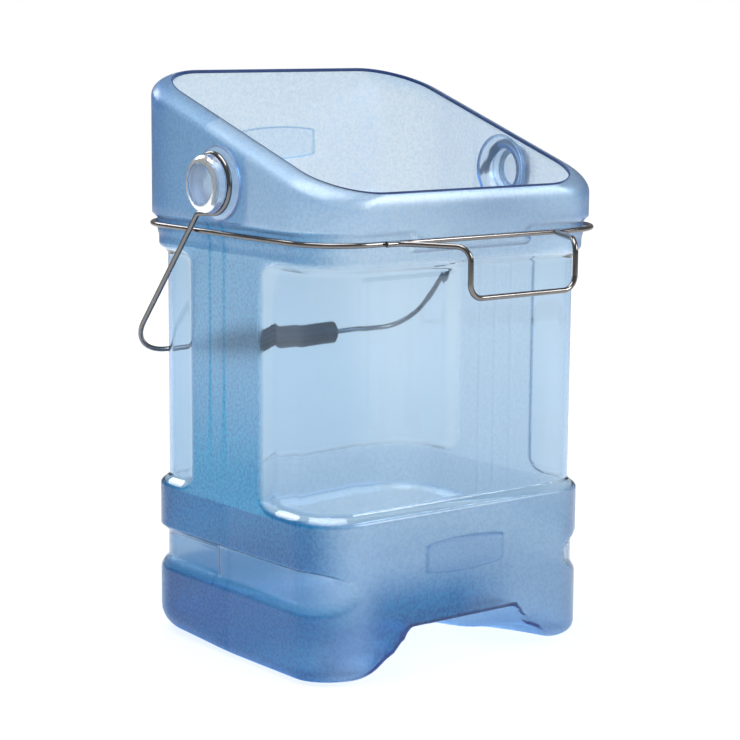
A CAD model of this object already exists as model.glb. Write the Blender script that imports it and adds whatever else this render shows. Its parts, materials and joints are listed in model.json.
import json
import math

import bmesh
import bpy
import numpy as np
from mathutils import Matrix, Vector


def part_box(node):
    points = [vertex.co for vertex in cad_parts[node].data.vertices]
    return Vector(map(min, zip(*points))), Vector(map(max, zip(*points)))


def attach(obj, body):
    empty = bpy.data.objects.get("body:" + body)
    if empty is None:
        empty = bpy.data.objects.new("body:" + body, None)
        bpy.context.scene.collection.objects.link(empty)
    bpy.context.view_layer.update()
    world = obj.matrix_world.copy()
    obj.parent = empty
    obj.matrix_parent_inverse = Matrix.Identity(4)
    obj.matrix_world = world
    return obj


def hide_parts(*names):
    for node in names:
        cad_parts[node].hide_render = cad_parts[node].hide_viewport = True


bl_info = {
    "name": "Ice tote",
    "version": (1, 0, 0),
    "blender": (4, 5, 0),
    "location": "View3D > Sidebar > Ice tote",
    "description": "Builds the looks of a clear blue ice tote round its packed frame",
    "category": "Object",
}

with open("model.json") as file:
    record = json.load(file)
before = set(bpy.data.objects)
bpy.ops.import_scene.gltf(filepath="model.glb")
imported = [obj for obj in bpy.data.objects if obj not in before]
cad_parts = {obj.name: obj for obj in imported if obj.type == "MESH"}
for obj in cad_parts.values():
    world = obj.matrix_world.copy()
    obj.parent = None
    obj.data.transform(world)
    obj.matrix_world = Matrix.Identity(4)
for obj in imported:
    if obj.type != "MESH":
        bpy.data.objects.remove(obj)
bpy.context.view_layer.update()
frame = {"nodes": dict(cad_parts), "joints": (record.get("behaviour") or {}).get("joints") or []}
MM = 0.001

# Places read from the frame, in millimetres
JOINTS = {joint["name"]: joint for joint in frame["joints"]}
PIVOT = Vector(JOINTS["bail_swing"]["pos_m"]) / MM
BAR = Vector(JOINTS["grip_spin"]["pos_m"]) / MM
_, TUB_HIGH = (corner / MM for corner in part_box("tote_body"))
RING_LOW, RING_HIGH = (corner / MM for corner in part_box("neck_ring"))
HOOK_LOW, HOOK_HIGH = (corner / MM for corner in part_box("bin_hook"))
_, BAIL_HIGH = (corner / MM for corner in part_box("bail_wire"))

# The tub's heights, in millimetres from the floor
PANEL_BOTTOM = 121.5
PANEL_TOP = 316.0
BAND_TOP = 321.0
NECK_BOTTOM = 327.0
NECK_TOP = 335.5
LIP = 340.0
MOUTH_TOP = TUB_HIGH.z
MOUTH_REAR = 123.7
MOUTH_SLOPE = 0.3335

# How squarely a column has to face one way to lie on a straight wall
SQUARELY = 0.99


class ToteTubSettings(bpy.types.PropertyGroup):
    """Sizes and colours of the moulded tub."""
    half_width: bpy.props.FloatProperty(
        name="Hood half width", description="Middle to side wall of the hood, in millimetres",
        default=143.4)
    half_depth: bpy.props.FloatProperty(
        name="Hood half depth", description="Middle to front wall of the hood, in millimetres",
        default=126.7)
    corner: bpy.props.FloatProperty(
        name="Corner radius", description="Upright corner radius of the hood, in millimetres",
        default=45.0)
    wall: bpy.props.FloatProperty(
        name="Wall", description="Wall thickness, in millimetres", default=2.6, min=1.0, max=4.0)
    band_inset: bpy.props.FloatProperty(
        name="Band inset", description="How far the bands stand back from the hood, in millimetres",
        default=5.4)
    neck_inset: bpy.props.FloatProperty(
        name="Neck inset", description="How far the ring groove stands back from the hood, in millimetres",
        default=4.2)
    panel_depth: bpy.props.FloatProperty(
        name="Panel depth", description="Depth of the clear panels, in millimetres", default=7.0, min=0.0)
    clear_tint: bpy.props.FloatVectorProperty(
        name="Clear tint", description="Tint of the clear panels", subtype="COLOR", size=4,
        default=(0.9, 0.905, 0.885, 1.0), min=0.0, max=1.0)
    low_tint: bpy.props.FloatVectorProperty(
        name="Low clear tint", description="Tint of the clear panels where they are deepest",
        subtype="COLOR", size=4, default=(0.78, 0.835, 0.855, 1.0), min=0.0, max=1.0)
    frost_tint: bpy.props.FloatVectorProperty(
        name="Frost tint", description="Tint of the textured bands and hood", subtype="COLOR", size=4,
        default=(0.98, 0.955, 0.92, 1.0), min=0.0, max=1.0)
    base_tint: bpy.props.FloatVectorProperty(
        name="Base tint", description="Tint of the textured plastic where it is deepest",
        subtype="COLOR", size=4, default=(0.02, 0.4, 0.61, 1.0), min=0.0, max=1.0)
    dye: bpy.props.FloatVectorProperty(
        name="Dye", description="What the plastic lets through along a long path", subtype="COLOR", size=4,
        default=(0.0, 0.45, 0.85, 1.0), min=0.0, max=1.0)
    dye_strength: bpy.props.FloatProperty(
        name="Dye strength", description="Absorption along the wall, per metre", default=118.0, min=0.0)


class ToteWireSettings(bpy.types.PropertyGroup):
    """Sizes and colours of the wires and the grip."""
    radius: bpy.props.FloatProperty(
        name="Wire radius", description="Radius of every wire, in millimetres", default=2.1, min=0.5)
    steel: bpy.props.FloatVectorProperty(
        name="Steel", description="Colour of the drawn wire", subtype="COLOR", size=4,
        default=(0.21, 0.2, 0.195, 1.0), min=0.0, max=1.0)
    grip: bpy.props.FloatVectorProperty(
        name="Grip", description="Colour of the sleeve", subtype="COLOR", size=4,
        default=(0.004, 0.004, 0.006, 1.0), min=0.0, max=1.0)


class ToteStageSettings(bpy.types.PropertyGroup):
    """Camera and soft light."""
    camera_place: bpy.props.FloatVectorProperty(
        name="Camera", description="Where the camera stands", subtype="TRANSLATION", unit="LENGTH",
        default=(-1.0990, -1.3855, 0.4977))
    camera_turn: bpy.props.FloatVectorProperty(
        name="View angles", description="Azimuth, elevation and roll of the view", subtype="EULER",
        default=(math.radians(-38.45), math.radians(9.12), math.radians(0.44)))
    lens: bpy.props.FloatProperty(
        name="Lens", description="Focal length for a 36 mm sensor", default=108.72, min=10.0)
    world_light: bpy.props.FloatProperty(
        name="World light", description="Strength of the soft light all round", default=0.25, min=0.0)


# Shape of the tub


def ramp(t, rounding=0.3):
    """0 to 1 with a straight middle and rounded ends."""
    t = np.clip(t, 0.0, 1.0)
    low = t * t / (2 * rounding * (1 - rounding))
    high = 1 - (1 - t) ** 2 / (2 * rounding * (1 - rounding))
    middle = (t - rounding / 2) / (1 - rounding)
    return np.where(t < rounding, low, np.where(t > 1 - rounding, high, middle))


def soft_max(a, b, width):
    """Larger of two fields, rounded where they cross."""
    share = np.clip(0.5 + 0.5 * (a - b) / width, 0.0, 1.0)
    return b + (a - b) * share + width * share * (1 - share)


def rounded_distance(across, along, radius):
    """Signed distance to a rounded corner, from the distances past its two straight edges."""
    past = np.hypot(np.maximum(across, 0), np.maximum(along, 0))
    return past + np.minimum(np.maximum(across, along), 0) - radius


# Fine upright mould lines on the side pillars
PILLAR_LINES = (-16.0, PIVOT.y, 23.0)
LINE_HALF = 1.3
LINE_DEPTH = 0.25

# Places of columns where a wall changes shape, and the widest gap between columns on each wall
SIDE_MARKS = (-62, -52, -42, -34, -26, -8, 14, 32, 42, 50, 60, 70)
PAD_MARKS = (-38.6, -37.4, 37.4, 38.6)
BRIDGE_MARKS = (-78, -44, 44, 78)
SIDE_GAP = 3.9
REAR_GAP = 4.6
FRONT_GAP = 2.7
CORNER_COLUMNS = 16


class Plan:
    """Columns round the tub: the corner each belongs to and the way its wall faces."""

    def __init__(self, settings):
        self.s = settings
        straight_x = settings.half_width - settings.corner
        straight_y = settings.half_depth - settings.corner
        lines = tuple(line + off for line in PILLAR_LINES for off in (-LINE_HALF, 0.0, LINE_HALF))
        side = self.fill(sorted((-straight_y, straight_y) + SIDE_MARKS + lines), SIDE_GAP) / straight_y
        rear_marks = (-straight_x, straight_x) + PAD_MARKS
        rear = self.fill(sorted(rear_marks), REAR_GAP) / straight_x
        front = self.fill(sorted(rear_marks + BRIDGE_MARKS), FRONT_GAP) / straight_x
        turn = np.radians(np.linspace(0, 90, CORNER_COLUMNS + 1)[1:])
        sx, sy, angle = [], [], []

        def run(xs, ys, angles):
            sx.extend(xs)
            sy.extend(ys)
            angle.extend(angles)

        def corner(x, y, start):
            run([x] * len(turn), [y] * len(turn), math.radians(start) + turn)

        run([1.0] * len(side), side, [0.0] * len(side))
        corner(1, 1, 0)
        run(-rear[1:], [1.0] * (len(rear) - 1), [math.pi / 2] * (len(rear) - 1))
        corner(-1, 1, 90)
        run([-1.0] * (len(side) - 1), -side[1:], [math.pi] * (len(side) - 1))
        corner(-1, -1, 180)
        run(front[1:], [-1.0] * (len(front) - 1), [1.5 * math.pi] * (len(front) - 1))
        corner(1, -1, 270)
        self.sx, self.sy, angle = (np.array(v[:-1], float) for v in (sx, sy, angle))
        self.nx, self.ny = np.cos(angle), np.sin(angle)
        self.x, self.y = self.outline(0.0)
        self.along = self.way_round(settings, self.x, self.y)

    @staticmethod
    def way_round(settings, x, y):
        """Way round the wall from the middle of the front to any place on it, in millimetres."""
        straight_x = settings.half_width - settings.corner
        straight_y = settings.half_depth - settings.corner
        past_x, past_y = np.abs(x) - straight_x, -y - straight_y
        turn = np.arctan2(np.maximum(past_x, 0.0), np.maximum(past_y, 1e-6))
        turn = np.where(past_y <= 0, math.pi / 2, turn)
        return np.minimum(np.abs(x), straight_x) + settings.corner * turn + np.maximum(-past_y, 0.0)

    @staticmethod
    def fill(marks, step):
        """Stations between the marks, no further apart than the step."""
        out = [marks[0]]
        for a, b in zip(marks, marks[1:]):
            out.extend(np.linspace(a, b, max(1, math.ceil((b - a) / step)) + 1)[1:])
        return np.array(out)

    def outline(self, inset, side=0.0, front=0.0, rear=0.0, shrink=1.0, keep=False):
        """Plan points of a wall drawn in evenly by inset, and more by side, front and rear."""
        s = self.s
        radius = (s.corner - (0.0 if keep else inset)) * shrink
        half_x = (s.half_width - inset - side) * shrink
        half_y = (s.half_depth - inset - (front + rear) / 2) * shrink
        x = self.sx * (half_x - radius) + radius * self.nx
        y = (front - rear) / 2 + self.sy * (half_y - radius) + radius * self.ny
        return x, y


# Clear panels: where they start beside a pillar, their slopes and their corner radius
PANEL_EDGE = 42.5
PANEL_SIDE_SLOPE = 14.0
PANEL_END_SLOPE = 9.0
PANEL_CORNER = 15.0


def panel_depth_at(plan, z):
    """How far the clear panel is sunk at a height, for every column."""
    beyond = (np.abs(plan.y - PIVOT.y) - PANEL_EDGE) * PANEL_END_SLOPE / PANEL_SIDE_SLOPE
    middle, half = (PANEL_TOP + PANEL_BOTTOM) / 2, (PANEL_TOP - PANEL_BOTTOM) / 2
    above = abs(z - middle) - (half - PANEL_CORNER)
    distance = rounded_distance(PANEL_CORNER - beyond, above, PANEL_CORNER)
    return plan.s.panel_depth * ramp(-distance / PANEL_END_SLOPE)


# Hand hold: heights and depth, edge slopes, and its pointed start counted from the middle of the front
HOLD_TOP = 89.0
HOLD_BOTTOM = 52.0
HOLD_MIDDLE = 68.0
HOLD_DEPTH = 3.6
HOLD_TOP_SLOPE = 3.5
HOLD_BOTTOM_SLOPE = 10.0
HOLD_FRONT = 101.0
HOLD_FADE = 52.0
HOLD_TIP = 4.0

# Deeper finger place in the rear part of the hold, with its slopes at the front, the top and the bottom
FINGER_START = 18.0
FINGER_TOP = 86.0
FINGER_BOTTOM = 58.0
FINGER_EXTRA = 2.6
FINGER_SLOPES = (2.5, 4.0, 6.0)


def hold_depth_at(along, y, z):
    """How far the hand hold is sunk at places given by their way round, depth and height."""
    way = np.clip((along - HOLD_FRONT) / HOLD_FADE, 0.0, 1.0)
    spread = np.sqrt(1 - (1 - way) ** 2)
    top = HOLD_MIDDLE + (HOLD_TOP - HOLD_MIDDLE) * spread
    bottom = HOLD_MIDDLE - (HOLD_MIDDLE - HOLD_BOTTOM) * spread
    depth = HOLD_DEPTH * ramp((top - z) / HOLD_TOP_SLOPE) * ramp((z - bottom) / HOLD_BOTTOM_SLOPE)
    finger = 1.0
    for past, slope in zip((y - FINGER_START, FINGER_TOP - z, z - FINGER_BOTTOM), FINGER_SLOPES):
        finger = finger * ramp(past / slope)
    return depth * ramp(way * HOLD_TIP) + FINGER_EXTRA * finger


def line_depth_at(plan, z):
    """Depth of the fine upright mould lines on the side pillars, for every column."""
    depth = np.zeros_like(plan.x)
    if z > HOLD_TOP:
        for line in PILLAR_LINES:
            depth = np.maximum(depth, LINE_DEPTH * np.clip(1 - np.abs(plan.y - line) / LINE_HALF, 0, 1))
    return np.where(np.abs(plan.nx) > SQUARELY, depth, 0.0)


# Plain raised pads on the front and the rear: facing, middle height and size in metres, and rise
PADS = ((-1.0, 0.0875), (1.0, 0.389))
PAD_HALF = 0.038
PAD_TALL = 0.010
PAD_BOW = 0.003
PAD_RISE = 0.8
PAD_SLOPE = 1.2


def pad_rise_at(plan, z):
    """How far the plain pads stand out of the front and rear walls, for every column."""
    rise = np.zeros_like(plan.x)
    share = plan.x * MM / PAD_HALF
    tall = PAD_TALL + PAD_BOW * (1.0 - share * share)
    for side, middle in PADS:
        reach = np.maximum(np.abs(plan.x * MM) - PAD_HALF, np.abs(z * MM - middle) - tall) / MM
        raised = PAD_RISE * ramp((PAD_SLOPE / 2 - reach) / PAD_SLOPE)
        rise += np.where(plan.ny * side > SQUARELY, raised, 0.0)
    return rise


# Bridge left across the front of the ring groove, and the rounding under the lip
BRIDGE_HALF = 58.0
BRIDGE_ROUNDING = 4.2
BRIDGE_SLOPE = 3.0
BRIDGE_REACH = 90.0
LIP_ROUNDING = 0.15


def neck_inset_at(plan, z):
    """Inset of the lip, the ring groove and the bridge left across the front."""
    s = plan.s
    if z <= BAND_TOP:
        return np.full_like(plan.x, s.band_inset)
    height = z - (NECK_BOTTOM + NECK_TOP) / 2
    reach = BRIDGE_HALF - math.sqrt(max(BRIDGE_ROUNDING ** 2 - height ** 2, 0.0))
    on_front = (plan.ny < -SQUARELY) & (np.abs(plan.x) < BRIDGE_REACH)
    bridge = np.where(on_front, ramp((reach + BRIDGE_SLOPE / 2 - np.abs(plan.x)) / BRIDGE_SLOPE), 0.0)
    taper = float(ramp((z - BAND_TOP) / (NECK_BOTTOM - BAND_TOP)))
    flush = s.band_inset * (1 - taper)
    if z < NECK_TOP:
        grooved = s.band_inset + (s.neck_inset - s.band_inset) * taper
    else:
        grooved = s.neck_inset * (1 - float(ramp((z - NECK_TOP) / (LIP - NECK_TOP), LIP_ROUNDING)))
    return grooved + (flush - grooved) * bridge


# Shallow flat on each hood side, which fades out towards the shoulder
SIDE_PAD_HALF = 33.0
SIDE_PAD_DEPTH = 0.9
SIDE_PAD_SLOPE = 2.0
SIDE_PAD_FADE = 6


def hood_inset_at(plan, share):
    """Shallow flat on each hood side, round the boss."""
    flat = ramp((SIDE_PAD_HALF + SIDE_PAD_SLOPE / 2 - np.abs(plan.y - PIVOT.y)) / SIDE_PAD_SLOPE)
    depth = SIDE_PAD_DEPTH * flat * (1 - share ** SIDE_PAD_FADE)
    return np.where(np.abs(plan.nx) > SQUARELY, depth, 0.0)


# Arch scooped out under the front: size, and where its cheeks drop away, to where and how far
ARCH_TOP = 37.0
ARCH_DEPTH = 95.0
ARCH_CROWN = 10.0
ARCH_CHEEK = (50.0, 69.0, 18.0)
ARCH_FLARE = (62.0, 104.0, 20.0)
ARCH_ROUNDING = 0.5
ARCH_LIMIT = 75.0

# Softness of the arch's edge at its lip, and what is added deep inside and towards the sides
EDGE_LIP = 6.0
EDGE_DEEP = 22.0
EDGE_SIDE = 14.0
EDGE_SIDE_START = 56.0
EDGE_SIDE_LENGTH = 20.0
EDGE_SHARE = 0.36


def scoop(points, shell, settings):
    """Lift the underside and the foot of the front wall onto the front arch."""
    front = -(settings.half_depth - settings.band_inset)
    length = math.hypot(ARCH_DEPTH, ARCH_TOP)
    along = np.array([0.0, ARCH_DEPTH, -ARCH_TOP]) / length
    lift = np.array([0.0, ARCH_TOP, ARCH_DEPTH]) / length
    rel = points - np.array([0.0, front, ARCH_TOP])
    e, height = rel @ along, rel @ lift
    wide = np.abs(points[:, 0]) - shell
    crown = ARCH_CROWN * np.sin(np.pi * np.clip(e / length, 0, 1))
    target = crown + shell
    for start, end, drop in (ARCH_CHEEK, ARCH_FLARE):
        target = target - drop * ramp((wide - start) / (end - start), ARCH_ROUNDING)
    soft = EDGE_LIP + EDGE_DEEP * np.clip(e / length, 0.0, 1.0)
    soft = soft + EDGE_SIDE * np.clip((wide - EDGE_SIDE_START) / EDGE_SIDE_LENGTH, 0.0, 1.0)
    low = points[:, 2] < ARCH_LIMIT
    moved = soft_max(target, height, soft * EDGE_SHARE)
    points = points.copy()
    points[low] += (moved - height)[low, None] * lift
    return points


# Shoulder that rolls in to the mouth: its height, and how far it runs in on each wall
SHOULDER_DROP = 13.0
SHOULDER_RUN = (16.8, 4.5, 3.0)
SHOULDER_END = math.radians(72)


def mouth_height(y):
    """Height of the slanted mouth at a depth."""
    return MOUTH_TOP - MOUTH_SLOPE * (MOUTH_REAR - y)


def shoulder_row(plan, turn, shell):
    """One row of the rolled-in shoulder, at a turn from upright towards flat."""
    run_in = (1 - math.cos(turn)) / (1 - math.cos(SHOULDER_END))
    thick = shell * math.cos(turn)
    x, y = plan.outline(thick, *(run_in * reach for reach in SHOULDER_RUN), keep=True)
    drop = SHOULDER_DROP * (1 - math.sin(turn) / math.sin(SHOULDER_END)) + shell * math.sin(turn)
    return np.stack([x, y, mouth_height(y) - drop], 1)


# Rounding of the foot, which grows from front to rear
FOOT_FRONT = 12.0
FOOT_REAR = 22.0
FOOT_START = -10.0
FOOT_LENGTH = 115.0

# Rings of points across the floor, as shares of its outline
FLOOR_SHARES = (0.02, 0.12, 0.24, 0.34, *np.linspace(0.42, 0.96, 20))

# Rows round the foot, on the hood below and above its pad, and round the shoulder
FOOT_ROWS = 9
HOOD_ROWS = 5
SHOULDER_ROWS = 10

# Rows are close together on the outside where the pads are, and further apart on the inside
PAD_GAP = 1.0
PLAIN_GAP = 3.6
HOOD_PAD = (0.36, 0.64)
HOOD_PAD_ROWS = 28
HOOD_PLAIN_ROWS = 4


def wall_marks(gap):
    """Stretches of the wall: low end, high end and the widest gap between rows."""
    return (
        (FOOT_REAR, 50, 5.6), (50, 64, 1.7), (64, 73, 3.0), (73, 82, gap), (82, 91, 1.0), (91, 102, gap),
        (102, 119, 5.6), (119, 134, 1.3), (134, 304, 11.5), (304, BAND_TOP, 1.5),
        (BAND_TOP, NECK_BOTTOM, 1.2), (NECK_BOTTOM, NECK_TOP, 2.0), (NECK_TOP, LIP, 0.9),
    )


def wall_rows(plan, shell):
    """Rows of one skin of the tub from the middle of its base up to the mouth."""
    outside = shell == 0.0
    s = plan.s
    rows = []
    rounding = FOOT_FRONT + (FOOT_REAR - FOOT_FRONT) * ramp((plan.y - FOOT_START) / FOOT_LENGTH)
    foot = rounding - shell
    floor_inset = s.band_inset + rounding
    for share in FLOOR_SHARES:
        x, y = plan.outline(floor_inset, shrink=share)
        rows.append(np.stack([x, y, np.full_like(x, shell)], 1))
    for turn in np.radians(np.linspace(90, 0, FOOT_ROWS)):
        x, y = plan.outline(floor_inset - foot * math.cos(turn))
        rows.append(np.stack([x, y, np.full_like(x, shell + foot * (1 - math.sin(turn)))], 1))
    for low, high, gap in wall_marks(PAD_GAP if outside else PLAIN_GAP):
        for z in Plan.fill([low, high], gap)[1:]:
            inset = shell + neck_inset_at(plan, z) + panel_depth_at(plan, z) + line_depth_at(plan, z)
            inset += hold_depth_at(plan.along, plan.y, z) - outside * pad_rise_at(plan, z)
            place = [plan.x - inset * plan.nx, plan.y - inset * plan.ny, np.full_like(plan.x, z)]
            rows.append(np.stack(place, 1))
    start = mouth_height(plan.y) - SHOULDER_DROP
    pad_low, pad_high = HOOD_PAD
    below = np.linspace(0, pad_low, HOOD_ROWS)[1:]
    beside = np.linspace(pad_low, pad_high, HOOD_PAD_ROWS if outside else HOOD_PLAIN_ROWS)[1:]
    above = np.linspace(pad_high, 1, HOOD_ROWS)[1:-1]
    for share in (*below, *beside, *above):
        z = LIP + (start - LIP) * share
        inset = hood_inset_at(plan, share) + shell - outside * pad_rise_at(plan, z)
        rows.append(np.stack([plan.x - inset * plan.nx, plan.y - inset * plan.ny, z], 1))
    for turn in np.linspace(0, SHOULDER_END, SHOULDER_ROWS):
        rows.append(shoulder_row(plan, turn, shell))
    return [scoop(row, shell, s) for row in rows]


def skin_mesh(name, rows):
    """Closed mesh from rings of points, each end closed on its middle."""
    count = len(rows[0])
    points = np.concatenate(rows)
    faces = []
    for r in range(len(rows) - 1):
        a, b = r * count, (r + 1) * count
        for c in range(count):
            d = (c + 1) % count
            faces.append((a + c, a + d, b + d, b + c))
    for ring, tip in ((0, len(points)), (len(rows) - 1, len(points) + 1)):
        first = ring * count
        for c in range(count):
            pair = (first + (c + 1) % count, first + c)
            faces.append((*(pair if ring == 0 else pair[::-1]), tip))
    points = np.concatenate([points, [rows[0].mean(0), rows[-1].mean(0)]])
    mesh = bpy.data.meshes.new(name)
    mesh.from_pydata((points * MM).tolist(), [], faces)
    mesh.validate()
    return mesh


WELD_DISTANCE = 1e-6
HARD_EDGE = math.radians(42)


def face_outwards(mesh, weld=True):
    """Merge doubles, point every face outwards and smooth all but hard edges."""
    bm = bmesh.new()
    bm.from_mesh(mesh)
    if weld:
        bmesh.ops.remove_doubles(bm, verts=bm.verts, dist=WELD_DISTANCE)
    bmesh.ops.recalc_face_normals(bm, faces=bm.faces)
    for face in bm.faces:
        face.smooth = True
    for edge in bm.edges:
        if len(edge.link_faces) == 2 and edge.calc_face_angle(0.0) > HARD_EDGE:
            edge.smooth = False
    bm.to_mesh(mesh)
    bm.free()


def new_object(name, mesh):
    obj = bpy.data.objects.new(name, mesh)
    bpy.context.scene.collection.objects.link(obj)
    return obj


def lathe(name, profile, centre, segments=96):
    """Turn a closed profile of (x, radius) points about a line along X through the centre."""
    rings = []
    for x, radius in profile:
        turns = np.linspace(0, 2 * math.pi, segments, endpoint=False)
        rings.append(np.stack([np.full(segments, x), centre[1] + radius * np.cos(turns),
                               centre[2] + radius * np.sin(turns)], 1))
    return skin_mesh(name, rings)


def arc_points(cx, cr, radius, start, end, steps):
    """Points of (x, radius) along an arc, angles in degrees from the +x way towards +radius."""
    turns = np.radians(np.linspace(start, end, steps))
    return [(cx + radius * math.cos(t), cr + radius * math.sin(t)) for t in turns]


# Hollow mushroom bosses: radii, rise of the flange, length of the neck, and roundings
BOSS_FLANGE = 29.0
BOSS_NECK = 20.0
BOSS_CAP = 22.6
BOSS_RISE = 1.0
BOSS_LENGTH = 6.4
BOSS_BRIM = 3.4
BOSS_FILLET = 2.6
BOSS_HOLE = 27.0
BOSS_HOLE_ENDS = (130, 150)
# Radius left open at a turned shape's pole, where a fan of faces closes it
POLE = 0.01


def boss_profile(settings):
    """Half section of a hollow boss, from its tip round the outside and back up the inside."""
    wall = settings.wall
    face = settings.half_width + BOSS_RISE
    under = face + BOSS_LENGTH
    tip = TUB_HIGH.x
    dome = tip - under - BOSS_BRIM
    root = face - BOSS_RISE - wall
    inner = BOSS_NECK - wall
    return [
        (tip, POLE), (tip - 0.35, 7.0), (tip - 0.8, 12.0),
        *arc_points(under + BOSS_BRIM, BOSS_CAP - dome + 0.6, dome - 0.8, 62, 0, 7),
        (under + 0.6, BOSS_CAP), (under, BOSS_CAP - 0.6), (under, BOSS_NECK + 0.8),
        (under - 0.8, BOSS_NECK), (face + BOSS_FILLET, BOSS_NECK),
        *arc_points(face + BOSS_FILLET, BOSS_NECK + BOSS_FILLET, BOSS_FILLET, 270, 180, 6),
        (face, BOSS_FLANGE - 1.2), (face - 0.4, BOSS_FLANGE - 0.3), (face - 1.2, BOSS_FLANGE),
        (root, BOSS_FLANGE), (root, inner + BOSS_BRIM),
        *arc_points(root + BOSS_BRIM, inner + BOSS_BRIM, BOSS_BRIM, 180, 270, 6),
        (under, inner),
        *arc_points(under + BOSS_BRIM - 1.0, inner - dome + 2.0 + 1.0, dome - 2.0, 0, 60, 6),
        (tip - wall, inner * 0.35), (tip - wall, POLE),
    ]


# Materials

# Range of the fine noise that counts as pits
PIT_LOW = 0.4
PIT_HIGH = 0.62


def link(tree, a, b):
    tree.links.new(a, b)


def feed(tree, socket, value):
    """Give an input a plain value or another node's output."""
    if isinstance(value, bpy.types.NodeSocket):
        link(tree, value, socket)
    else:
        socket.default_value = value


def maths(tree, kind, a, b=0.0):
    """Output of one sum; its inputs are values or other outputs."""
    node = tree.nodes.new("ShaderNodeMath")
    node.operation = kind
    for socket, value in zip(node.inputs, (a, b)):
        feed(tree, socket, value)
    return node.outputs[0]


def grain_group():
    """Fine moulded or rubbed grain: its height, its pits and broad clouds."""
    name = "Fine grain"
    if name in bpy.data.node_groups:
        return bpy.data.node_groups[name]
    tree = bpy.data.node_groups.new(name, "ShaderNodeTree")
    for label, default in (("Grain size", 0.0009), ("Cloud size", 0.06), ("Contrast", 1.0)):
        socket = tree.interface.new_socket(label, in_out="INPUT", socket_type="NodeSocketFloat")
        socket.default_value = default
    for label in ("Height", "Speckle", "Cloud"):
        tree.interface.new_socket(label, in_out="OUTPUT", socket_type="NodeSocketFloat")
    nodes = tree.nodes
    given, result = nodes.new("NodeGroupInput"), nodes.new("NodeGroupOutput")
    place = nodes.new("ShaderNodeTexCoord")

    def noise(size, detail):
        node = nodes.new("ShaderNodeTexNoise")
        node.inputs["Detail"].default_value = detail
        node.inputs["Roughness"].default_value = 0.6
        link(tree, place.outputs["Object"], node.inputs["Vector"])
        link(tree, maths(tree, "DIVIDE", 1.0, size), node.inputs["Scale"])
        return node.outputs["Fac"]

    fine = noise(given.outputs["Grain size"], detail=2.0)
    cloud = noise(given.outputs["Cloud size"], detail=3.0)
    pits = nodes.new("ShaderNodeMapRange")
    pits.inputs["From Min"].default_value = PIT_LOW
    pits.inputs["From Max"].default_value = PIT_HIGH
    link(tree, fine, pits.inputs["Value"])
    speckle = maths(tree, "MULTIPLY", pits.outputs["Result"], given.outputs["Contrast"])
    for label, value in (("Height", fine), ("Speckle", speckle), ("Cloud", cloud)):
        link(tree, value, result.inputs[label])
    return tree


def new_material(name):
    """A material, its tree and its plain shader."""
    mat = bpy.data.materials.new(name)
    mat.use_nodes = True
    return mat, mat.node_tree, mat.node_tree.nodes["Principled BSDF"]


def grain_node(tree, grain_size, cloud_size, contrast=1.0):
    """The fine grain with its sizes in metres."""
    node = tree.nodes.new("ShaderNodeGroup")
    node.node_tree = grain_group()
    node.inputs["Grain size"].default_value = grain_size
    node.inputs["Cloud size"].default_value = cloud_size
    node.inputs["Contrast"].default_value = contrast
    return node


def mix_colour(tree, factor, a, b, mode="MIX"):
    """Output that blends two colours."""
    node = tree.nodes.new("ShaderNodeMix")
    node.data_type = "RGBA"
    node.blend_type = mode
    for socket, value in ((node.inputs[0], factor), (node.inputs[6], a), (node.inputs[7], b)):
        feed(tree, socket, value)
    return node.outputs[2]


def mix_value(tree, factor, a, b):
    """Output that blends two numbers."""
    node = tree.nodes.new("ShaderNodeMix")
    for socket, value in ((node.inputs[0], factor), (node.inputs[2], a), (node.inputs[3], b)):
        feed(tree, socket, value)
    return node.outputs[0]


def grain_normal(tree, grain, depth, strength):
    """Normal roughened by the fine grain, with its depth in metres."""
    bump = tree.nodes.new("ShaderNodeBump")
    bump.inputs["Distance"].default_value = depth
    feed(tree, bump.inputs["Strength"], strength)
    link(tree, grain.outputs["Height"], bump.inputs["Height"])
    return bump.outputs["Normal"]


def choose_shader(tree, factor, first, second, output):
    """Send one of two shaders to an output."""
    choose = tree.nodes.new("ShaderNodeMixShader")
    for socket, value in zip(choose.inputs, (factor, first, second)):
        link(tree, value, socket)
    link(tree, choose.outputs[0], tree.nodes[output].inputs["Surface"])


def seen_ray(tree):
    """1 where the camera looks straight at a surface or through the clear tub."""
    path = tree.nodes.new("ShaderNodeLightPath")
    return maths(tree, "MAXIMUM", path.outputs["Is Camera Ray"], path.outputs["Is Transmission Ray"])


# What the pits of the moulded texture take from red, green and blue, on pale and on deep plastic
FAINT_PITS = (0.76, 0.85, 0.92)
STRONG_PITS = (0.25, 0.46, 0.64)

# Finishes, with roughness as the smoothest and the dullest
RIM_DARK = (0.012, 0.035, 0.13, 1.0)
RIM_LIGHT = (0.03, 0.07, 0.2, 1.0)
PAD_LINE = (0.36, 0.55, 0.72, 1.0)
PAD_LINE_SHARE = 0.85
PAD_LINE_WIDE = 0.0011
PAD_LINE_NARROW = 0.0002
PAD_ROUNDING = 0.003
WALL_SHADE = (0.72, 0.84, 0.93, 1.0)
PLASTIC_ROUGHNESS = (0.03, 0.29)
FROST_BUMP = 0.22
PLASTIC_IOR = 1.5
STEEL_ROUGHNESS = (0.12, 0.22)
STEEL_SHADE = 0.8
SLEEVE_ROUGHNESS = (0.34, 0.5)
SLEEVE_WORN_GAIN = 1.6
SLEEVE_WORN_LIFT = 0.003


def speckled(tint, pits):
    """Darker, bluer version of a tint, for the pits of the moulded texture."""
    return tuple(value * pit for value, pit in zip(tint[:3], pits)) + (1.0,)


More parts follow.
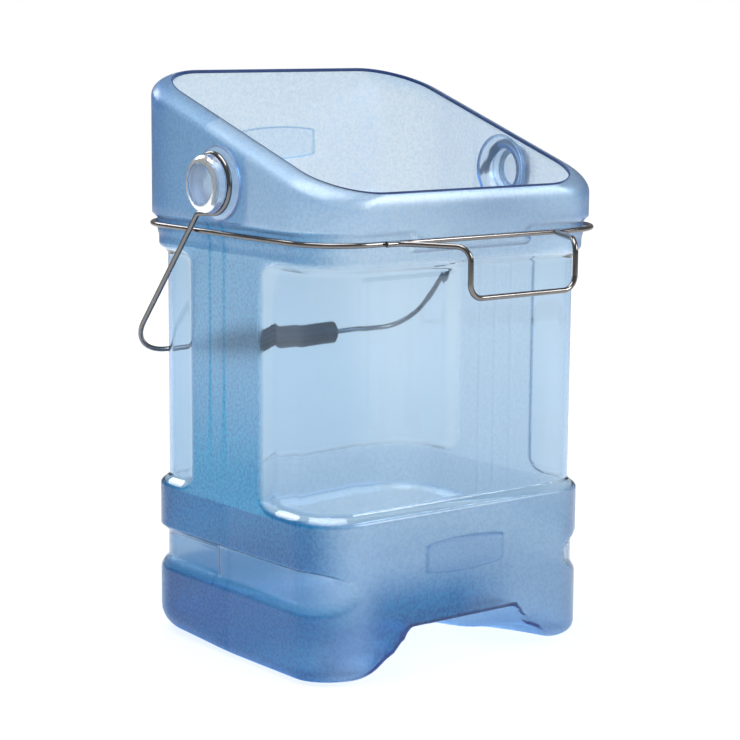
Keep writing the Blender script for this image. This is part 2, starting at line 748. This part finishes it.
def cut_rim():
    """Trimmed edge of the mouth, where the dye shows along the wall."""
    mat, tree, shader = new_material("Trimmed rim")
    grain = grain_node(tree, grain_size=0.0008, cloud_size=0.03)
    dark = mix_colour(tree, grain.outputs["Cloud"], RIM_DARK, RIM_LIGHT)
    link(tree, dark, shader.inputs["Base Color"])
    shader.inputs["Roughness"].default_value = 0.35
    return mat


def pad_group():
    """The line of dye round the plain pads, front and rear."""
    name = "Plain pads"
    if name in bpy.data.node_groups:
        return bpy.data.node_groups[name]
    tree = bpy.data.node_groups.new(name, "ShaderNodeTree")
    tree.interface.new_socket("Line", in_out="OUTPUT", socket_type="NodeSocketFloat")
    result = tree.nodes.new("NodeGroupOutput")
    place = tree.nodes.new("ShaderNodeTexCoord")
    split = tree.nodes.new("ShaderNodeSeparateXYZ")
    link(tree, place.outputs["Object"], split.inputs[0])
    x, y, z = split.outputs
    front, rear = (height for _, height in PADS)
    middle = mix_value(tree, maths(tree, "GREATER_THAN", y, 0.0), front, rear)
    share = maths(tree, "DIVIDE", x, PAD_HALF)
    inwards = maths(tree, "SUBTRACT", 1.0, maths(tree, "MULTIPLY", share, share))
    bow = maths(tree, "MULTIPLY", inwards, PAD_BOW)
    tall = maths(tree, "ABSOLUTE", maths(tree, "SUBTRACT", z, middle))
    beyond = maths(tree, "SUBTRACT", tall, maths(tree, "ADD", bow, PAD_TALL))
    across = maths(tree, "SUBTRACT", maths(tree, "ABSOLUTE", x), PAD_HALF)
    reach = maths(tree, "SMOOTH_MAX", across, beyond)
    reach.node.inputs[2].default_value = PAD_ROUNDING
    soft = tree.nodes.new("ShaderNodeMapRange")
    soft.interpolation_type = "SMOOTHSTEP"
    soft.inputs["From Min"].default_value = PAD_LINE_WIDE
    soft.inputs["From Max"].default_value = PAD_LINE_NARROW
    link(tree, maths(tree, "ABSOLUTE", reach), soft.inputs["Value"])
    link(tree, soft.outputs["Result"], result.inputs["Line"])
    return tree


def clear_blue(settings, name, transmission):
    """Dyed clear plastic: glossy in the panels, frosted and speckled where the mould is textured."""
    mat, tree, shader = new_material(name)
    grain = grain_node(tree, grain_size=0.0026, cloud_size=0.07)
    pads = tree.nodes.new("ShaderNodeGroup")
    pads.node_tree = pad_group()

    def stored(label):
        node = tree.nodes.new("ShaderNodeAttribute")
        node.attribute_name = label
        return node.outputs["Fac"]

    frost, deep, speckle = stored("frost"), stored("deep"), grain.outputs["Speckle"]
    frosted = mix_colour(tree, speckle, settings.frost_tint, speckled(settings.frost_tint, FAINT_PITS))
    shaded = mix_colour(tree, speckle, settings.base_tint, speckled(settings.base_tint, STRONG_PITS))
    textured = mix_colour(tree, deep, frosted, shaded)
    clear = mix_colour(tree, deep, settings.clear_tint, settings.low_tint)
    tinted = mix_colour(tree, frost, clear, textured)
    line = maths(tree, "MULTIPLY", pads.outputs["Line"], PAD_LINE_SHARE)
    link(tree, mix_colour(tree, line, tinted, PAD_LINE, "MULTIPLY"), shader.inputs["Base Color"])
    link(tree, mix_value(tree, frost, *PLASTIC_ROUGHNESS), shader.inputs["Roughness"])
    bump = mix_value(tree, frost, 0.0, FROST_BUMP)
    link(tree, grain_normal(tree, grain, depth=0.0004, strength=bump), shader.inputs["Normal"])
    shader.inputs["Transmission Weight"].default_value = transmission
    shader.inputs["IOR"].default_value = PLASTIC_IOR
    shader.inputs["Specular IOR Level"].default_value = 0.22
    through = tree.nodes.new("ShaderNodeBsdfTransparent")
    through.inputs["Color"].default_value = WALL_SHADE
    path = tree.nodes.new("ShaderNodeLightPath")
    shadow = path.outputs["Is Shadow Ray"]
    choose_shader(tree, shadow, shader.outputs[0], through.outputs[0], "Material Output")
    volume = tree.nodes.new("ShaderNodeVolumeAbsorption")
    volume.inputs["Color"].default_value = settings.dye
    volume.inputs["Density"].default_value = settings.dye_strength
    link(tree, volume.outputs[0], tree.nodes["Material Output"].inputs["Volume"])
    return mat


def drawn_steel(settings):
    """Drawn stainless wire with faint clouding."""
    mat, tree, shader = new_material("Drawn stainless wire")
    grain = grain_node(tree, grain_size=0.0006, cloud_size=0.02)
    dark = tuple(value * STEEL_SHADE for value in settings.steel[:3]) + (1.0,)
    link(tree, mix_colour(tree, grain.outputs["Cloud"], settings.steel, dark), shader.inputs["Base Color"])
    link(tree, mix_value(tree, grain.outputs["Speckle"], *STEEL_ROUGHNESS), shader.inputs["Roughness"])
    shader.inputs["Metallic"].default_value = 1.0
    link(tree, grain_normal(tree, grain, depth=0.00004, strength=0.3), shader.inputs["Normal"])
    return mat


def black_sleeve(settings):
    """Black moulded sleeve, dulled where hands rub it."""
    mat, tree, shader = new_material("Black moulded sleeve")
    grain = grain_node(tree, grain_size=0.0008, cloud_size=0.02)
    worn = tuple(value * SLEEVE_WORN_GAIN + SLEEVE_WORN_LIFT for value in settings.grip[:3]) + (1.0,)
    link(tree, mix_colour(tree, grain.outputs["Cloud"], settings.grip, worn), shader.inputs["Base Color"])
    link(tree, mix_value(tree, grain.outputs["Speckle"], *SLEEVE_ROUGHNESS), shader.inputs["Roughness"])
    shader.inputs["Specular IOR Level"].default_value = 0.25
    link(tree, grain_normal(tree, grain, depth=0.0001, strength=0.4), shader.inputs["Normal"])
    return mat


# Wires


def bent_path(points, radii, step=7.0):
    """Points along straight runs with an arc of the given radius at each inner point."""
    path = [Vector(points[0])]
    for index in range(1, len(points) - 1):
        corner = Vector(points[index])
        back = (Vector(points[index - 1]) - corner).normalized()
        ahead = (Vector(points[index + 1]) - corner).normalized()
        half = back.angle(ahead) / 2
        radius = radii[index - 1]
        to_centre = (back + ahead).normalized()
        centre = corner + to_centre * radius / math.sin(half)
        first = corner + back * radius / math.tan(half) - centre
        last = corner + ahead * radius / math.tan(half) - centre
        turn = math.pi - 2 * half
        count = max(3, math.ceil(math.degrees(turn) / step))
        for k in range(count + 1):
            path.append(centre + first.slerp(last, k / count).normalized() * radius)
    path.append(Vector(points[-1]))
    return path


def wire_tree():
    """Geometry nodes that sweep a round wire along a path and close its ends."""
    name = "Bent wire"
    if name in bpy.data.node_groups:
        return bpy.data.node_groups[name]
    tree = bpy.data.node_groups.new(name, "GeometryNodeTree")
    face = tree.interface
    face.new_socket("Path", in_out="INPUT", socket_type="NodeSocketGeometry")
    radius = face.new_socket("Wire radius", in_out="INPUT", socket_type="NodeSocketFloat")
    radius.subtype = "DISTANCE"
    radius.default_value = 0.0021
    sides = face.new_socket("Sides", in_out="INPUT", socket_type="NodeSocketInt")
    sides.default_value = 20
    face.new_socket("Material", in_out="INPUT", socket_type="NodeSocketMaterial")
    face.new_socket("Wire", in_out="OUTPUT", socket_type="NodeSocketGeometry")
    nodes = tree.nodes
    given, result = nodes.new("NodeGroupInput"), nodes.new("NodeGroupOutput")
    circle = nodes.new("GeometryNodeCurvePrimitiveCircle")
    sweep = nodes.new("GeometryNodeCurveToMesh")
    sweep.inputs["Fill Caps"].default_value = True
    smooth = nodes.new("GeometryNodeSetShadeSmooth")
    real = nodes.new("GeometryNodeRealizeInstances")
    paint = nodes.new("GeometryNodeSetMaterial")
    link(tree, given.outputs["Wire radius"], circle.inputs["Radius"])
    link(tree, given.outputs["Sides"], circle.inputs["Resolution"])
    link(tree, given.outputs["Path"], sweep.inputs["Curve"])
    link(tree, circle.outputs["Curve"], sweep.inputs["Profile Curve"])
    link(tree, sweep.outputs["Mesh"], smooth.inputs["Geometry"])
    link(tree, smooth.outputs["Geometry"], real.inputs["Geometry"])
    link(tree, real.outputs["Geometry"], paint.inputs["Geometry"])
    link(tree, given.outputs["Material"], paint.inputs["Material"])
    link(tree, paint.outputs["Geometry"], result.inputs["Wire"])
    return tree


def baked(obj, name, weld=True):
    """Plain mesh object from an object's modifiers, which takes its place."""
    graph = bpy.context.evaluated_depsgraph_get()
    mesh = bpy.data.meshes.new_from_object(obj.evaluated_get(graph), depsgraph=graph)
    bpy.data.objects.remove(obj)
    face_outwards(mesh, weld)
    mesh.name = name
    return new_object(name, mesh)


def set_input(modifier, label, value):
    """Set a tree's input by its identifier."""
    for item in modifier.node_group.interface.items_tree:
        if item.item_type == "SOCKET" and item.in_out == "INPUT" and item.name == label:
            modifier[item.identifier] = value
            return
    raise ValueError("the tree has no input named " + label)


def make_wire(name, path, radius, material, closed=False):
    """A wire swept along a path given in millimetres."""
    curve = bpy.data.curves.new(name + "_path", "CURVE")
    curve.dimensions = "3D"
    spline = curve.splines.new("POLY")
    spline.points.add(len(path) - 1)
    for point, place in zip(spline.points, path):
        point.co = (*(Vector(place) * MM), 1.0)
    spline.use_cyclic_u = closed
    obj = new_object(name + "_path", curve)
    modifier = obj.modifiers.new("Bent wire", "NODES")
    modifier.node_group = wire_tree()
    set_input(modifier, "Wire radius", radius * MM)
    set_input(modifier, "Material", material)
    piece = baked(obj, name)
    piece.data.materials.clear()
    piece.data.materials.append(material)
    return piece


# Bends of the neck ring and the bin hook, and the hook's half width and the length of its tails
RING_CORNER = 42.9
RING_STEPS = 18
HOOK_BEND = 11.0
HOOK_HALF = 51.5
HOOK_TAIL = 14.0


def ring_path(wire_radius):
    """Closed path of the neck ring, from the node's own box."""
    half_x = (RING_HIGH.x - RING_LOW.x) / 2 - wire_radius
    low_y, high_y = RING_LOW.y + wire_radius, RING_HIGH.y - wire_radius
    z = (RING_LOW.z + RING_HIGH.z) / 2
    path = []
    for index, (sx, sy) in enumerate(((1, 1), (-1, 1), (-1, -1), (1, -1))):
        y = high_y if sy > 0 else low_y
        for k in range(RING_STEPS + 1):
            turn = math.radians(90 * index + 90 * k / RING_STEPS)
            path.append(Vector((sx * (half_x - RING_CORNER) + RING_CORNER * math.cos(turn),
                                y - sy * RING_CORNER + RING_CORNER * math.sin(turn), z)))
    return path


def hook_path(wire_radius):
    """Path of the bin hook, from the node's own box."""
    tail_x = HOOK_HIGH.x
    lay_y, stand_y = HOOK_HIGH.y - wire_radius, HOOK_LOW.y + wire_radius
    top_z, bar_z = HOOK_HIGH.z - wire_radius, HOOK_LOW.z + wire_radius
    tail = [(-tail_x, lay_y, top_z), (HOOK_TAIL - tail_x, lay_y, top_z)]
    left = tail + [(-HOOK_HALF, stand_y, top_z), (-HOOK_HALF, stand_y, bar_z)]
    points = left + [(-x, y, z) for x, y, z in left[::-1]]
    return bent_path(points, [HOOK_BEND] * (len(points) - 2))


# The bail: play of its eyes, bends at knee and bar, where the legs start, stub and where the eye ends
EYE_PLAY = 0.4
EYE_STEPS = 44
KNEE_BEND = 6.0
BAR_BEND = 36.0
LEG_START = 31.0
STUB = 22.0
STUB_TURN = 84.0


def bail_path(settings):
    """Path of the bail: stub, eye, knee, leg, bar, and the same again on the other side."""
    wire = settings.radius
    leg_x = BAIL_HIGH.x - wire
    reach = Vector((0.0, BAR.y - PIVOT.y, BAR.z - PIVOT.z))
    length = reach.length
    down = reach / length
    across = Vector((0.0, -down.z, down.y))
    eye = BOSS_NECK + EYE_PLAY + wire
    knee_turn = -math.degrees(math.acos(eye / LEG_START))

    def place(side, along, off):
        return Vector((side * leg_x, PIVOT.y, PIVOT.z)) + down * along + across * off

    def on_eye(side, degrees):
        turn = math.radians(degrees)
        return place(side, eye * math.cos(turn), eye * math.sin(turn))

    def end(side):
        tangent = math.radians(STUB_TURN - 90)
        tip = on_eye(side, STUB_TURN) + down * STUB * math.cos(tangent) + across * STUB * math.sin(tangent)
        turns = np.linspace(STUB_TURN, 360 + knee_turn, EYE_STEPS)
        return [tip] + [on_eye(side, turn) for turn in turns[:-1]]

    corners = [on_eye(-1, knee_turn), place(-1, LEG_START, 0), place(-1, length, 0),
               place(1, length, 0), place(1, LEG_START, 0), on_eye(1, knee_turn)]
    return end(-1) + bent_path(corners, [KNEE_BEND, BAR_BEND, BAR_BEND, KNEE_BEND]) + end(1)[::-1]


# Frost and depth of colour over the tub

# How deep the dye looks, from 0 to 1; the fades give an amount, where it starts and over what length
FRONT_DEEP = 0.02
FRONT_LOW = (0.24, 150.0, 60.0)
FRONT_BASE = (0.7, 92.0, 40.0)
FRONT_BASE_RIGHT = (55.0, 60.0)
PANEL_LOW = (0.8, 300.0, 120.0)
PANEL_RIGHT = (1.0, 98.0, 25.0)
SIDE_BLEND = 34.0
PILLAR_DEEP = 0.72
PILLAR_LOW = (0.28, 250.0, 110.0)
HOOD_SIDE_DEEP = 0.52
HOOD_FRONT_DEEP = 0.2
RIM_REAR_DEEP = 0.42
RIM_FRONT_DEEP = 0.06
RIM_TALL = 8.0
RIM_TURN = 25.0
CORNER_PLACE = 108.0
CORNER_WIDTH = 20.0
CORNER_LIGHTER = 0.68
CORNER_CLEAR_TOP = 4.0
LINE_DEEP = 0.28
LINE_CORE = 1.2
ARCH_DEEP = 0.12
ARCH_INSIDE = (112.0, -25.0, 60.0, 7.0)

# The hand hold: how much clearer and paler it is, its dark top edge and its pale low edge
HOLD_CLEARER = 0.45
HOLD_PALER = 0.4
HOLD_EDGE_DEEP = 1.4
HOLD_EDGE_FROM = 80.0
HOLD_LOW_PALER = 0.5
HOLD_LOW_END = 62.0
HOLD_LOW_SPREAD = 6.0

# Clear panels turn to frost where their slopes meet the bands, and the bosses are polished
FROST_START = 0.6
FROST_LENGTH = 1.4
BOSS_FROST = 0.55
BOSS_DEEP = 0.04


def faded(value, amount, start, length):
    """An amount that grows from nothing at the start to all of it one length lower."""
    return amount * ramp((start - value) / length)


def texture_at(settings, x, y, z):
    """Where the mould is textured, and how deep the dye looks, at places on the tub."""
    half_x, half_y = settings.half_width - settings.corner, settings.half_depth - settings.corner
    inset = -rounded_distance(np.abs(x) - half_x, np.abs(y) - half_y, settings.corner)
    tall = (z > PANEL_BOTTOM) & (z < PANEL_TOP)
    hood = z > LIP
    panel = np.clip(1.0 - (inset - settings.band_inset - FROST_START) / FROST_LENGTH, 0.0, 1.0)
    frost = np.where(tall, panel, 1.0)

    front = FRONT_DEEP + faded(z, *FRONT_LOW)
    right, blend = FRONT_BASE_RIGHT
    front += faded(z, *FRONT_BASE) * np.clip((right - x) / blend, 0.0, 1.0)
    low_panel = faded(z, *PANEL_LOW) * (1.0 - frost) * faded(x, *PANEL_RIGHT)
    front = np.where(tall, np.maximum(front, low_panel), front)

    left = np.where(hood, HOOD_SIDE_DEEP, PILLAR_DEEP + faded(z, *PILLAR_LOW))
    left = np.where(hood & (y < PIVOT.y - SIDE_PAD_HALF), HOOD_FRONT_DEEP, left)
    under_rim = hood & (mouth_height(y) - z < RIM_TALL)
    left = np.where(under_rim, np.where(y > RIM_TURN, RIM_REAR_DEEP, RIM_FRONT_DEEP), left)

    near_corner = np.exp(-((x + CORNER_PLACE) / CORNER_WIDTH) ** 2) * (y < 0.0)
    beside_panel = (z >= PANEL_BOTTOM) & (z <= PANEL_TOP - CORNER_CLEAR_TOP)
    lighter = 1.0 - CORNER_LIGHTER * near_corner * ~beside_panel
    side = np.clip((-x - half_x) / SIDE_BLEND, 0.0, 1.0)
    deep = (front * (1 - side) + left * side) * lighter

    hold = hold_depth_at(Plan.way_round(settings, x, y), y, z) / HOLD_DEPTH
    sunk = np.clip(hold, 0.0, 1.0) * (inset > settings.band_inset - 1.0)
    low_edge = np.clip(hold * HOLD_LOW_SPREAD, 0.0, 1.0) * (z < HOLD_LOW_END)
    lines = [np.clip(LINE_CORE - np.abs(y - place) / LINE_HALF, 0.0, 1.0) for place in PILLAR_LINES]
    frost = frost * (1.0 - HOLD_CLEARER * sunk)
    deep = deep * (1.0 - HOLD_PALER * sunk) * (1.0 - HOLD_LOW_PALER * low_edge)
    deep += LINE_DEEP * np.max(lines, axis=0) * side * (z < LIP)
    deep += HOLD_EDGE_DEEP * sunk * (1.0 - sunk) * (z > HOLD_EDGE_FROM)

    half, behind, height, inwards = ARCH_INSIDE
    arch = (np.abs(x) < half) & (y < behind) & (z < height) & (inset > settings.band_inset + inwards)
    return frost, np.where(arch, ARCH_DEEP, deep)


# Operators, one for each group of pieces

# Bevel of the mouth's trimmed edge, and the rings of faces that it takes up
EDGE_BEVEL = 0.25
EDGE_RINGS = 3


class TOTE_OT_tub(bpy.types.Operator):
    """Build the moulded tub with its bosses and plain pads"""
    bl_idname = "tote.tub"
    bl_label = "Tub"

    def execute(self, context):
        settings = context.scene.tote_tub
        plastic = clear_blue(settings, "Clear blue polycarbonate", transmission=1.0)
        cap_plastic = clear_blue(settings, "Polished boss plastic", transmission=0.85)
        plan = Plan(settings)
        outer = wall_rows(plan, 0.0)
        inner = wall_rows(plan, settings.wall)
        edge = []
        inside_edge = settings.wall * math.cos(SHOULDER_END)
        for inset, drop in ((EDGE_BEVEL, 0.0), (inside_edge, EDGE_BEVEL)):
            x, y = plan.outline(inset, *SHOULDER_RUN, keep=True)
            edge.append(np.stack([x, y, mouth_height(y) - drop], 1))
        mesh = skin_mesh("tub", outer + edge + inner[::-1])
        columns = len(plan.x)
        first = (len(outer) - 1) * columns
        for face in mesh.polygons[first:first + columns * EDGE_RINGS]:
            face.material_index = 1
        mesh.materials.append(plastic)
        mesh.materials.append(cut_rim())
        tub = new_object("tub", mesh)
        face_outwards(tub.data)
        for side in (-1, 1):
            drill = [(side * end, BOSS_HOLE) for end in BOSS_HOLE_ENDS]
            cutter = new_object("hole", lathe("hole", drill, PIVOT))
            face_outwards(cutter.data)
            cut = tub.modifiers.new("Boss hole", "BOOLEAN")
            cut.operation = "DIFFERENCE"
            cut.solver = "EXACT"
            cut.object = cutter
            tub = baked(tub, "tub", weld=False)
            bpy.data.objects.remove(cutter)
        self.mark_frost(tub, settings, polished=False)
        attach(tub, "tote")
        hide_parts("tote_body")
        for side, name in ((-1, "boss_left"), (1, "boss_right")):
            profile = [(side * x, r) for x, r in boss_profile(settings)]
            boss = new_object(name, lathe(name, profile, PIVOT))
            face_outwards(boss.data)
            self.mark_frost(boss, settings, polished=True)
            boss.data.materials.append(cap_plastic)
            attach(boss, "tote")
        return {"FINISHED"}

    @staticmethod
    def mark_frost(obj, settings, polished):
        """Store how frosted and how deep in colour each point is."""
        mesh = obj.data
        points = np.empty(len(mesh.vertices) * 3)
        mesh.vertices.foreach_get("co", points)
        x, y, z = (points.reshape(-1, 3) / MM).T
        if polished:
            frost, deep = np.full_like(z, BOSS_FROST), np.full_like(z, BOSS_DEEP)
        else:
            frost, deep = texture_at(settings, x, y, z)
        for name, values in (("frost", frost), ("deep", deep)):
            attribute = mesh.attributes.new(name, "FLOAT", "POINT")
            attribute.data.foreach_set("value", values.astype(np.float32))


class TOTE_OT_wires(bpy.types.Operator):
    """Build the bail, the neck ring and the bin hook"""
    bl_idname = "tote.wires"
    bl_label = "Wires"

    def execute(self, context):
        settings = context.scene.tote_wire
        steel = drawn_steel(settings)
        paths = (
            ("bail", bail_path(settings), False, "bail", "bail_wire"),
            ("ring", ring_path(settings.radius), True, "tote", "neck_ring"),
            ("hook", hook_path(settings.radius), False, "tote", "bin_hook"),
        )
        for name, path, closed, body, node in paths:
            piece = make_wire(name, path, settings.radius, steel, closed)
            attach(piece, body)
            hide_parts(node)
        return {"FINISHED"}


class TOTE_OT_grip(bpy.types.Operator):
    """Finish the grip sleeve"""
    bl_idname = "tote.grip"
    bl_label = "Grip"

    def execute(self, context):
        settings = context.scene.tote_wire
        sleeve = frame["nodes"]["bail_grip"]
        sleeve.data.materials.clear()
        sleeve.data.materials.append(black_sleeve(settings))
        return {"FINISHED"}


# Lamps: name, place, size and power, all aimed at the middle of the tote
LAMPS = (
    ("key", (1.5, -2.2, 1.7), 1.2, 58.0),
    ("top", (-0.4, 0.0, 2.3), 1.7, 51.0),
    ("back", (-0.4, 1.9, 1.5), 0.9, 16.0),
)
LAMP_AIM = (0.0, 0.0, 0.22)
FLOOR_HALF = 6.0
FLOOR_PALE = (0.9, 0.9, 0.9, 1.0)
FLOOR_PALER = (0.92, 0.92, 0.92, 1.0)
FLOOR_ROUGHNESS = 0.9
# The floor seen by the camera is mostly plain white, a little brighter further out
FLOOR_WHITE_SHARE = 0.76
FLOOR_WHITE = (("From Min", 0.35), ("From Max", 1.4), ("To Min", 1.03), ("To Max", 1.3))
WHITE = (1.0, 1.0, 1.0, 1.0)
SENSOR_WIDTH = 36.0


class TOTE_OT_stage(bpy.types.Operator):
    """Set the floor, the lamps, the world and the camera"""
    bl_idname = "tote.stage"
    bl_label = "Stage"

    def execute(self, context):
        settings = context.scene.tote_stage
        scene = context.scene
        scene.view_settings.view_transform = "Standard"
        self.floor()
        self.world(scene, settings)
        for lamp in LAMPS:
            self.lamp(*lamp)
        self.camera(scene, settings)
        return {"FINISHED"}

    @staticmethod
    def floor():
        bm = bmesh.new()
        bmesh.ops.create_grid(bm, x_segments=2, y_segments=2, size=FLOOR_HALF)
        mesh = bpy.data.meshes.new("floor")
        bm.to_mesh(mesh)
        bm.free()
        floor = new_object("floor", mesh)
        mat, tree, shader = new_material("White floor")
        grain = grain_node(tree, grain_size=0.01, cloud_size=0.4, contrast=0.02)
        pale = mix_colour(tree, grain.outputs["Cloud"], FLOOR_PALE, FLOOR_PALER)
        link(tree, pale, shader.inputs["Base Color"])
        shader.inputs["Roughness"].default_value = FLOOR_ROUGHNESS
        glow = tree.nodes.new("ShaderNodeEmission")
        place = tree.nodes.new("ShaderNodeTexCoord")
        away = tree.nodes.new("ShaderNodeVectorMath")
        away.operation = "LENGTH"
        link(tree, place.outputs["Object"], away.inputs[0])
        fade = tree.nodes.new("ShaderNodeMapRange")
        for label, value in FLOOR_WHITE:
            fade.inputs[label].default_value = value
        link(tree, away.outputs["Value"], fade.inputs["Value"])
        link(tree, fade.outputs["Result"], glow.inputs["Strength"])
        share = maths(tree, "MULTIPLY", seen_ray(tree), FLOOR_WHITE_SHARE)
        choose_shader(tree, share, shader.outputs[0], glow.outputs[0], "Material Output")
        mesh.materials.append(mat)

    @staticmethod
    def world(scene, settings):
        world = bpy.data.worlds.new("White room")
        scene.world = world
        world.use_nodes = True
        tree = world.node_tree
        light, white = tree.nodes["Background"], tree.nodes.new("ShaderNodeBackground")
        for node, strength in ((light, settings.world_light), (white, 1.0)):
            node.inputs["Color"].default_value = WHITE
            node.inputs["Strength"].default_value = strength
        choose_shader(tree, seen_ray(tree), light.outputs[0], white.outputs[0], "World Output")

    @staticmethod
    def lamp(name, place, size, power):
        data = bpy.data.lights.new(name, "AREA")
        data.size = size
        data.energy = power
        lamp = bpy.data.objects.new(name, data)
        bpy.context.scene.collection.objects.link(lamp)
        lamp.location = place
        lamp.rotation_euler = (Vector(LAMP_AIM) - Vector(place)).to_track_quat("-Z", "Y").to_euler()

    @staticmethod
    def camera(scene, settings):
        azimuth, elevation, roll = settings.camera_turn
        level = math.cos(elevation)
        back = Vector((math.sin(azimuth) * level, -math.cos(azimuth) * level, math.sin(elevation)))
        right = Vector((math.cos(azimuth), math.sin(azimuth), 0.0))
        up = back.cross(right)
        turned_right = right * math.cos(roll) + up * math.sin(roll)
        turned_up = up * math.cos(roll) - right * math.sin(roll)
        data = bpy.data.cameras.new("camera")
        data.lens = settings.lens
        data.sensor_width = SENSOR_WIDTH
        camera = bpy.data.objects.new("camera", data)
        scene.collection.objects.link(camera)
        axes = Matrix((turned_right, turned_up, back)).transposed().to_4x4()
        camera.matrix_world = Matrix.Translation(Vector(settings.camera_place)) @ axes
        scene.camera = camera


class TOTE_PT_panel(bpy.types.Panel):
    """Buttons and settings of the ice tote"""
    bl_idname = "TOTE_PT_panel"
    bl_label = "Ice tote"
    bl_space_type = "VIEW_3D"
    bl_region_type = "UI"
    bl_category = "Ice tote"

    def draw(self, context):
        layout = self.layout
        for operator in OPERATORS:
            layout.operator(operator.bl_idname)
        for group in (context.scene.tote_tub, context.scene.tote_wire, context.scene.tote_stage):
            box = layout.box()
            for name in group.bl_rna.properties.keys():
                if name not in {"rna_type", "name"}:
                    box.prop(group, name)


SETTINGS = (
    ("tote_tub", ToteTubSettings),
    ("tote_wire", ToteWireSettings),
    ("tote_stage", ToteStageSettings),
)
OPERATORS = (TOTE_OT_tub, TOTE_OT_wires, TOTE_OT_grip, TOTE_OT_stage)
CLASSES = tuple(group for _, group in SETTINGS) + OPERATORS + (TOTE_PT_panel,)


def register():
    for cls in CLASSES:
        bpy.utils.register_class(cls)
    for name, group in SETTINGS:
        setattr(bpy.types.Scene, name, bpy.props.PointerProperty(type=group))


def unregister():
    for name, _ in SETTINGS:
        delattr(bpy.types.Scene, name)
    for cls in reversed(CLASSES):
        bpy.utils.unregister_class(cls)


def main():
    register()
    bpy.ops.tote.tub()
    bpy.ops.tote.wires()
    bpy.ops.tote.grip()
    bpy.ops.tote.stage()


if __name__ == "__main__":
    main()
